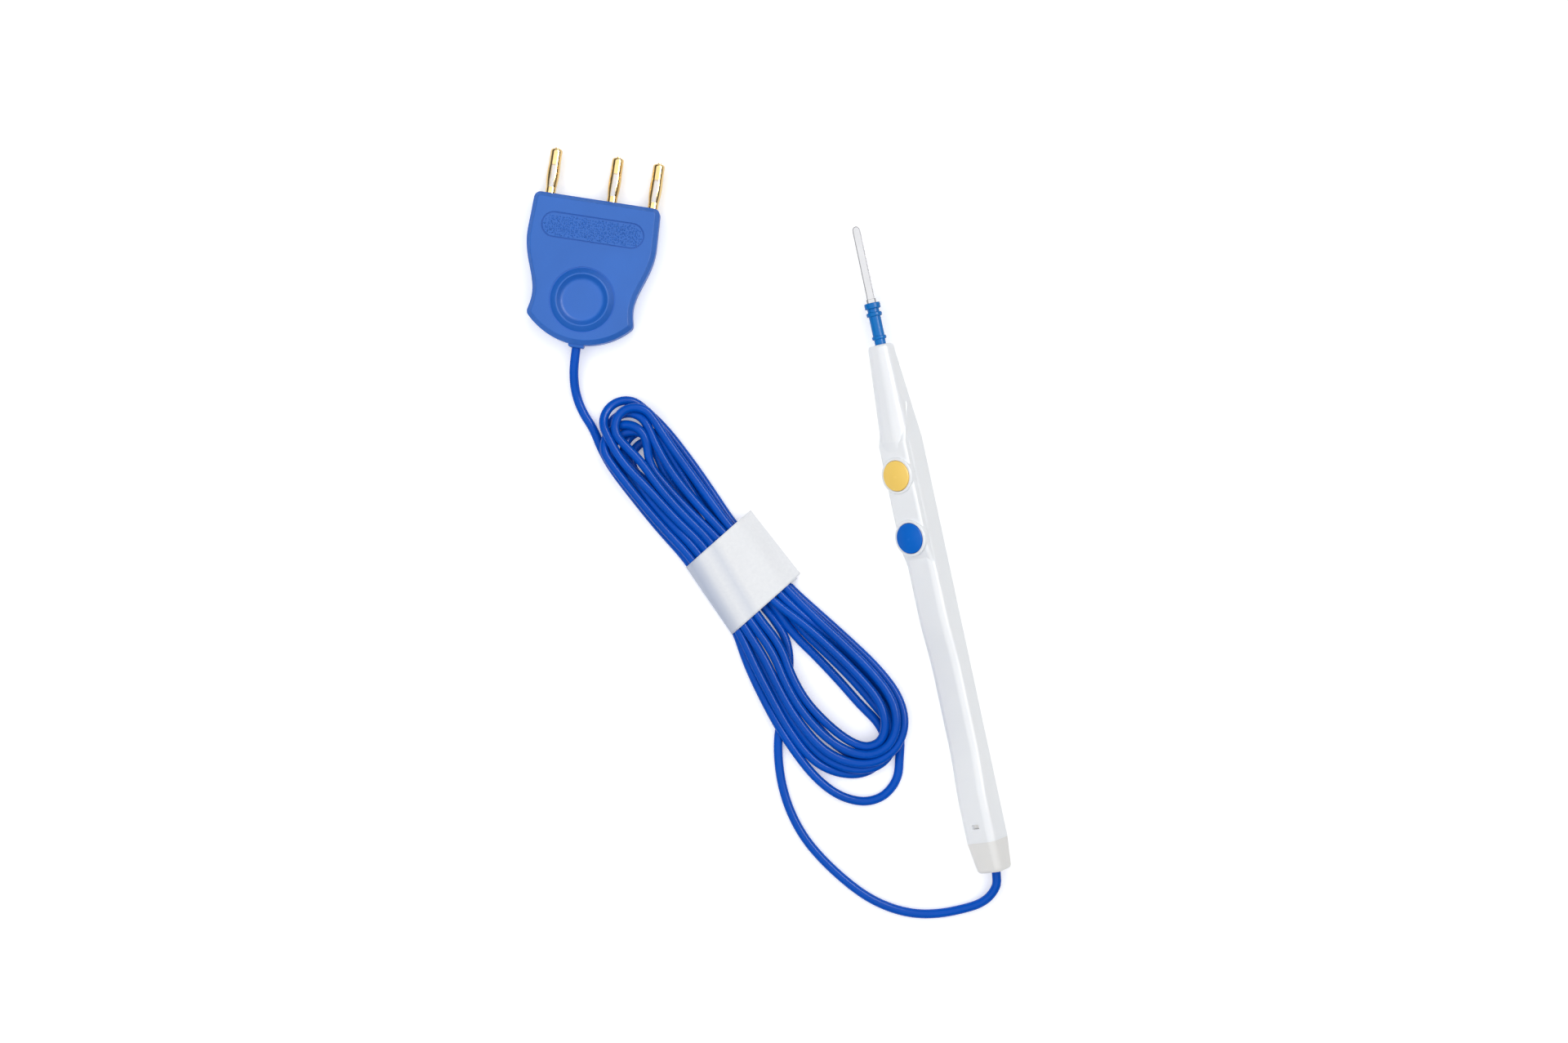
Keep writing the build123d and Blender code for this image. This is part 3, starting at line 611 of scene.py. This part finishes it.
def addBand(material):
    profile = np.array(band["over"] + band["under"])
    around, along = band["around"], band["along"]
    reach = band["halfLength"]
    verts = []
    shadeValues = []
    for i in range(along + 1):
        down = reach * (2 * i / along - 1)
        for j in range(around):
            b, z = alongProfile(profile, j * len(profile) / around)
            b = b * (1 + band["flare"] * down / reach)
            if z > band["waveFrom"]:
                z += sum(band["waveDepth"] * math.sin(p * b + q * down) for p, q in band["waves"])
            verts.append(onTable(down + band["skew"] * b, b, max(z, band["lowest"])))
            # painted shade, set for each point across the band
            slant = b + band["shadeSlant"] * (down + reach) + band["shadeShift"]
            shadeValues.append(np.interp(slant, band["shadePlaces"], band["shadeAmounts"]))
    faces = []
    for i in range(along):
        for j in range(around):
            k = (j + 1) % around
            faces.append((i * around + j, (i + 1) * around + j, (i + 1) * around + k, i * around + k))
    # inner end of the paper, just under the outer layer
    first, last = band["tuckSides"]
    over = np.array(band["over"][::-1])
    base = len(verts)
    across, rows = band["tuckAcross"], band["tuckAlong"]
    for i in range(rows + 1):
        down = reach - band["tuckIn"] + (band["tuckIn"] + band["tuckOut"]) * i / rows
        for j in range(across + 1):
            b = first + (last - first) * j / across
            z = np.interp(b, over[:, 0], over[:, 1]) - band["tuckBelow"]
            verts.append(onTable(down + band["skew"] * b, b, max(z, band["tuckLowest"])))
            # the tucked end gets an even share of painted shade
            shadeValues.append(band["tuckShade"])
    for i in range(rows):
        for j in range(across):
            a = base + i * (across + 1) + j
            faces.append((a, a + 1, a + across + 2, a + across + 1))
    piece = addMesh("paperBand", verts, faces, material)
    mesh = bmesh.new()
    mesh.from_mesh(piece.data)
    bmesh.ops.recalc_face_normals(mesh, faces=mesh.faces)
    mesh.to_mesh(piece.data)
    mesh.free()
    # the painted shade goes to the paper material as a point attribute
    paperShade = piece.data.attributes.new("paintedShade", "FLOAT", "POINT")
    paperShade.data.foreach_set("value", shadeValues)
    wall = piece.modifiers.new("wall", "SOLIDIFY")
    wall.thickness = band["thickness"] * mm
    wall.offset = -1
    print("paper band folded")
    return piece


# matt paper with fine fibres, mixed towards a darker blue-grey as painted shade where the band's attribute
# says
paper = {
    "low": (0.85, 0.86, 0.885),
    "high": (0.89, 0.90, 0.92),
    # colour of the painted shade
    "paperShade": (0.50, 0.55, 0.68),
    "fibreScale": 900,
    "fibreDetail": 6.0,
    "fibreDepth": 0.00003,
    "rough": (0.72, 0.9),
    "specular": 0.25,
    "soft": 0.1,
    "softDepth": (0.0006, 0.0006, 0.0006),
}


def makePaper(name):
    material, nodes, links, shader = startMaterial(name)
    fibre = objectNoise(nodes, links, paper["fibreScale"], paper["fibreDetail"])
    white = rampColour(nodes, links, fibre, paper["low"], paper["high"])
    paperShade = nodes.new("ShaderNodeAttribute")
    paperShade.attribute_name = "paintedShade"
    # painted shade: mixes the paper towards a darker blue-grey by the attribute
    mixColour(nodes, links, paperShade.outputs["Fac"], white, paper["paperShade"], shader.inputs["Base Color"])
    links.new(rampValue(nodes, links, fibre, *paper["rough"]), shader.inputs["Roughness"])
    addBump(nodes, links, fibre, shader, paper["fibreDepth"])
    shader.inputs["Specular IOR Level"].default_value = paper["specular"]
    addSoftLight(shader, paper["soft"], paper["softDepth"])
    return material


bandPiece = addBand(makePaper("bandPaper"))


# blade: brushed flat faces, with painted shade along the ground edge and round the tip
blade = {
    "half": 1.3,
    "edge": 0.36,                        # width of the painted shade along the ground edge, and of its darkest part
    "edgeShadeFull": 0.12,
    # darkest colour of the painted shade on the edge
    "edgeShadeTone": (0.17, 0.17, 0.18),
    "low": (0.455, 0.455, 0.465),
    "high": (0.485, 0.485, 0.495),
    "rough": (0.22, 0.28),
    "lineScale": 900,
    "lineStretch": (6, 0.25, 6),
    "lineDepth": 0.000002,
}


def bladeWithEdgeShade(name):
    material = workedMetal(name, blade)
    nodes, links = material.node_tree.nodes, material.node_tree.links
    steel = next(link for link in links if link.to_socket.name == "Base Color")
    flat, shader = steel.from_socket, steel.to_node
    low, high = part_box("electrode_blade")
    tipCentre = high[1] - blade["half"] * mm
    mapping = nodes.new("ShaderNodeMapping")
    mapping.inputs["Location"].default_value = (-(low[0] + high[0]) / 2, -tipCentre, 0)
    links.new(nodes.new("ShaderNodeTexCoord").outputs["Object"], mapping.inputs["Vector"])

    def vectorNode(operation, first, second=(0, 0, 0)):
        node = nodes.new("ShaderNodeVectorMath")
        node.operation = operation
        links.new(first, node.inputs[0])
        node.inputs[1].default_value = second
        return node.outputs

    # distance from the middle line, or from the centre of the rounded tip beyond it
    past = vectorNode("MAXIMUM", mapping.outputs["Vector"], (-1, 0, 0))["Vector"]
    level = vectorNode("MULTIPLY", past, (1, 1, 0))["Vector"]
    reach = vectorNode("LENGTH", level)["Value"]
    edge = nodes.new("ShaderNodeMapRange")
    edge.inputs["From Min"].default_value = (blade["half"] - blade["edge"]) * mm
    edge.inputs["From Max"].default_value = (blade["half"] - blade["edgeShadeFull"]) * mm
    links.new(reach, edge.inputs["Value"])
    # painted shade: the steel goes darker towards the edge and round the tip
    mixColour(nodes, links, edge.outputs["Result"], flat, blade["edgeShadeTone"], shader.inputs["Base Color"])
    return material


# finishes of the CAD pieces
finishes = {
    "handle": mouldedPlastic("shellWhite", {
        "low": (0.87, 0.885, 0.91), "high": (0.90, 0.915, 0.935), "rough": (0.30, 0.40), "grainScale": 2200,
        "grainDepth": 0.000008, "soft": 0.15,
    }),
    "end_cap": mouldedPlastic("capWarmWhite", {
        "low": (0.80, 0.79, 0.77), "high": (0.83, 0.82, 0.80), "rough": (0.32, 0.42), "grainScale": 2200,
        "grainDepth": 0.000008, "soft": 0.15,
    }),
    "cut_button": mouldedPlastic("buttonYellow", {
        "low": (0.96, 0.61, 0.11), "high": (0.99, 0.67, 0.15), "rough": (0.28, 0.38), "grainDepth": 0.000006,
    }),
    "coag_button": mouldedPlastic("buttonBlue", {
        "low": (0.0, 0.12, 0.56), "high": (0.0, 0.15, 0.64), "rough": (0.28, 0.38), "grainDepth": 0.000006,
        "specular": 0.22,
    }),
    "electrode_sleeve": mouldedPlastic("sleeveBlue", {
        "low": (0.0, 0.150, 0.49), "high": (0.0, 0.180, 0.56), "rough": (0.30, 0.42), "grainDepth": 0.000008,
        "specular": 0.18,
    }),
    "plug_body": mouldedPlastic("plugBlue", {
        "low": (0.010, 0.120, 0.50), "high": (0.014, 0.140, 0.57), "rough": (0.42, 0.56), "grainScale": 1500,
        "grainDepth": 0.00002, "specular": 0.36,
    }),
    "pin_carrier": mouldedPlastic("carrierBlack", {
        "low": (0.02, 0.02, 0.022), "high": (0.035, 0.035, 0.038), "rough": (0.5, 0.65),
    }),
    "switch_board": mouldedPlastic("boardGreen", {
        "low": (0.01, 0.10, 0.03), "high": (0.02, 0.15, 0.05), "rough": (0.3, 0.5), "coat": 0.3,
    }),
    "electrode_blade": bladeWithEdgeShade("bladeSteel"),
}
gold = workedMetal("pinGold", {
    "low": (0.68, 0.48, 0.21), "high": (0.80, 0.59, 0.29), "rough": (0.14, 0.24),
})
brass = workedMetal("partBrass", {
    "low": (0.66, 0.47, 0.18), "high": (0.76, 0.56, 0.24), "rough": (0.25, 0.4),
})
domeSteel = workedMetal("domeSteel", {
    "low": (0.62, 0.62, 0.63), "high": (0.72, 0.72, 0.73), "rough": (0.2, 0.32),
})
coreTones = {"active": (0.55, 0.05, 0.04), "cut": (0.75, 0.50, 0.05), "coag": (0.02, 0.10, 0.45)}
coreMottle = 0.85                        # darkest share of a core's tone
for name in ("active_pin", "cut_pin", "coag_pin"):
    finishes[name] = gold
for name in ("electrode_socket", "cable_clamp"):
    finishes[name] = brass
for core, tone in coreTones.items():
    dark = tuple(coreMottle * c for c in tone)
    insulation = mouldedPlastic(core + "Insulation", {
        "low": dark, "high": tone, "rough": (0.4, 0.55), "grainDepth": 0.000008,
    })
    finishes[core + "_wire"] = insulation
    finishes["plug_" + core + "_wire"] = insulation
for name, material in finishes.items():
    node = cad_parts[name]
    node.data.materials.clear()
    node.data.materials.append(material)
print("finishes set on", len(finishes), "nodes")


# plate on the plug: fine raised dots inside its groove, made by Geometry Nodes
plate = {
    "centre": (-82.0, 138.1),            # middle of the plug's pin face
    "turn": -20.8,
    "back": 10.5,
    "floor": 9.88,
    "dotRange": (0.7, 1.15),             # smallest and largest dot, as a share of the size below
    # inputs of the tree
    "Length": 33.2,
    "Width": 7.0,
    "Columns": 46,
    "Rows": 11,
    "Jitter": 0.26,
    "Dot Width": 0.58,
    "Dot Height": 0.15,
    "Seed": 4,
}


def stippleTree(material):
    tree = bpy.data.node_groups.new("plateStipple", "GeometryNodeTree")
    tree.interface.new_socket(name="Geometry", in_out="OUTPUT", socket_type="NodeSocketGeometry")
    kinds = {
        "NodeSocketFloat": ("Length", "Width", "Jitter", "Dot Width", "Dot Height"),
        "NodeSocketInt": ("Columns", "Rows", "Seed"),
    }
    sockets = {}
    for kind, names in kinds.items():
        for name in names:
            socket = tree.interface.new_socket(name=name, in_out="INPUT", socket_type=kind)
            sockets[name] = socket.identifier
    nodes, links = tree.nodes, tree.links
    given = nodes.new("NodeGroupInput").outputs
    grid = nodes.new("GeometryNodeMeshGrid")
    links.new(given["Length"], grid.inputs["Size X"])
    links.new(given["Width"], grid.inputs["Size Y"])
    links.new(given["Columns"], grid.inputs["Vertices X"])
    links.new(given["Rows"], grid.inputs["Vertices Y"])

    def mathNode(operation, first, second):
        node = nodes.new("ShaderNodeMath")
        node.operation = operation
        for socket, value in zip(node.inputs, (first, second)):
            if isinstance(value, (int, float)):
                socket.default_value = value
            else:
                links.new(value, socket)
        return node.outputs["Value"]

    def scaleNode(vector, factor):
        node = nodes.new("ShaderNodeVectorMath")
        node.operation = "SCALE"
        links.new(vector, node.inputs[0])
        links.new(factor, node.inputs["Scale"])
        return node.outputs["Vector"]

    wander = nodes.new("FunctionNodeRandomValue")
    wander.data_type = "FLOAT_VECTOR"
    wander.inputs[0].default_value = (-1, -1, 0)
    wander.inputs[1].default_value = (1, 1, 0)
    links.new(given["Seed"], wander.inputs["Seed"])
    shifted = nodes.new("GeometryNodeSetPosition")
    links.new(grid.outputs["Mesh"], shifted.inputs["Geometry"])
    links.new(scaleNode(wander.outputs[0], given["Jitter"]), shifted.inputs["Offset"])
    # keep the points inside the rounded ends
    place = nodes.new("ShaderNodeSeparateXYZ")
    links.new(nodes.new("GeometryNodeInputPosition").outputs["Position"], place.inputs["Vector"])
    straight = mathNode("MULTIPLY", mathNode("SUBTRACT", given["Length"], given["Width"]), 0.5)
    past = mathNode("MAXIMUM", mathNode("SUBTRACT", mathNode("ABSOLUTE", place.outputs["X"], 0), straight), 0)
    aside = mathNode("MULTIPLY", place.outputs["Y"], place.outputs["Y"])
    square = mathNode("ADD", mathNode("MULTIPLY", past, past), aside)
    outside = mathNode("GREATER_THAN", mathNode("SQRT", square, 0), mathNode("MULTIPLY", given["Width"], 0.5))
    trimmed = nodes.new("GeometryNodeDeleteGeometry")
    links.new(shifted.outputs["Geometry"], trimmed.inputs["Geometry"])
    links.new(outside, trimmed.inputs["Selection"])
    # one low dome per point, each a little different
    dot = nodes.new("GeometryNodeMeshIcoSphere")
    dot.inputs["Radius"].default_value = 1
    dot.inputs["Subdivisions"].default_value = 1
    soft = nodes.new("GeometryNodeSetShadeSmooth")
    links.new(dot.outputs["Mesh"], soft.inputs["Geometry"])
    size = nodes.new("ShaderNodeCombineXYZ")
    half = mathNode("MULTIPLY", given["Dot Width"], 0.5)
    links.new(half, size.inputs["X"])
    links.new(half, size.inputs["Y"])
    links.new(given["Dot Height"], size.inputs["Z"])
    vary = nodes.new("FunctionNodeRandomValue")
    vary.data_type = "FLOAT"
    vary.inputs[2].default_value = plate["dotRange"][0]
    vary.inputs[3].default_value = plate["dotRange"][1]
    links.new(given["Seed"], vary.inputs["Seed"])
    dots = nodes.new("GeometryNodeInstanceOnPoints")
    links.new(trimmed.outputs["Geometry"], dots.inputs["Points"])
    links.new(soft.outputs["Geometry"], dots.inputs["Instance"])
    links.new(scaleNode(size.outputs["Vector"], vary.outputs[1]), dots.inputs["Scale"])
    real = nodes.new("GeometryNodeRealizeInstances")
    links.new(dots.outputs["Instances"], real.inputs["Geometry"])
    painted = nodes.new("GeometryNodeSetMaterial")
    painted.inputs["Material"].default_value = material
    links.new(real.outputs["Geometry"], painted.inputs["Geometry"])
    links.new(painted.outputs["Geometry"], nodes.new("NodeGroupOutput").inputs["Geometry"])
    return tree, sockets


def addStipple(material):
    tree, sockets = stippleTree(material)
    maker = bpy.data.objects.new("stippleMaker", bpy.data.meshes.new("stippleMaker"))
    bpy.context.scene.collection.objects.link(maker)
    modifier = maker.modifiers.new("stipple", "NODES")
    modifier.node_group = tree
    for name, identifier in sockets.items():
        modifier[identifier] = plate[name]
    graph = bpy.context.evaluated_depsgraph_get()
    mesh = bpy.data.meshes.new_from_object(maker.evaluated_get(graph))
    bpy.data.objects.remove(maker)
    turn = Matrix.Rotation(math.radians(plate["turn"]), 4, "Z")
    placed = Matrix.Translation((*plate["centre"], plate["floor"])) @ turn
    mesh.transform(Matrix.Scale(mm, 4) @ placed @ Matrix.Translation((0, -plate["back"], 0)))
    mesh.name = "plateStipple"
    piece = bpy.data.objects.new("plateStipple", mesh)
    bpy.context.scene.collection.objects.link(piece)
    print("plate stippled,", len(mesh.polygons), "faces")
    return piece


stipplePiece = addStipple(finishes["plug_body"])


# contact domes: thin sprung caps on the board that flatten under a pressed button
dome = {
    "radius": 2.8,
    "height": 0.75,
    "thickness": 0.15,
    "boardTop": -0.4,                    # from the handle's middle line, before its roll
    "middleLine": (1.0171, 6.942),       # across and up
    "roll": 38.0,                        # degrees, as the handle lies
    "segments": 40,
    "rings": 8,
    "pressed": 0.22,                     # share of the height left under a pressed button
}
domeRoll = math.radians(dome["roll"])


def inHandle(u, y, v):
    x = dome["middleLine"][0] + u * math.cos(domeRoll) - v * math.sin(domeRoll)
    z = dome["middleLine"][1] + u * math.sin(domeRoll) + v * math.cos(domeRoll)
    return (x, y, z)


def addDome(name, node, material):
    low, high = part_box(node)
    middle = (low[1] + high[1]) / 2 / mm
    outer = (dome["radius"] ** 2 + dome["height"] ** 2) / (2 * dome["height"])
    inner = outer - dome["thickness"]
    drop = outer - dome["height"]
    profile = []
    for sphere, steps in ((outer, range(dome["rings"] + 1)), (inner, range(dome["rings"], -1, -1))):
        rim = math.acos(drop / sphere)
        for i in steps:
            angle = rim * i / dome["rings"]
            profile.append((sphere * math.sin(angle), sphere * math.cos(angle) - drop + dome["boardTop"]))
    count = dome["segments"]
    verts = [inHandle(0, middle, profile[0][1])]
    for reach, height in profile[1:-1]:
        for j in range(count):
            angle = 2 * math.pi * j / count
            verts.append(inHandle(reach * math.cos(angle), middle + reach * math.sin(angle), height))
    verts.append(inHandle(0, middle, profile[-1][1]))
    last = len(verts) - 1
    faces = []
    for j in range(count):
        k = (j + 1) % count
        faces.append((0, 1 + j, 1 + k))
        for i in range(len(profile) - 3):
            here, after = 1 + i * count, 1 + (i + 1) * count
            faces.append((here + j, after + j, after + k, here + k))
        faces.append((last - count + j, last, last - count + k))
    piece = addMesh(name, verts, faces, material)
    return piece, [c * mm for c in inHandle(0, middle, dome["boardTop"])]


cutDomePiece, cutDomeSeat = addDome("cutDome", "cut_dome", domeSteel)
coagDomePiece, coagDomeSeat = addDome("coagDome", "coag_dome", domeSteel)
print("contact domes formed")


# what rides on what
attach(cablePiece, "pencil")
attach(bandPiece, "pencil")
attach(stipplePiece, "pencil")
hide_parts("cable_pencil_lead", "cable_hank", "cable_plug_lead")
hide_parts("cable_band")
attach(cutDomePiece, "pencil")
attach(coagDomePiece, "pencil")
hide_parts("cut_dome")
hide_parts("coag_dome")
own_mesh(cutDomePiece)
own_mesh(coagDomePiece)
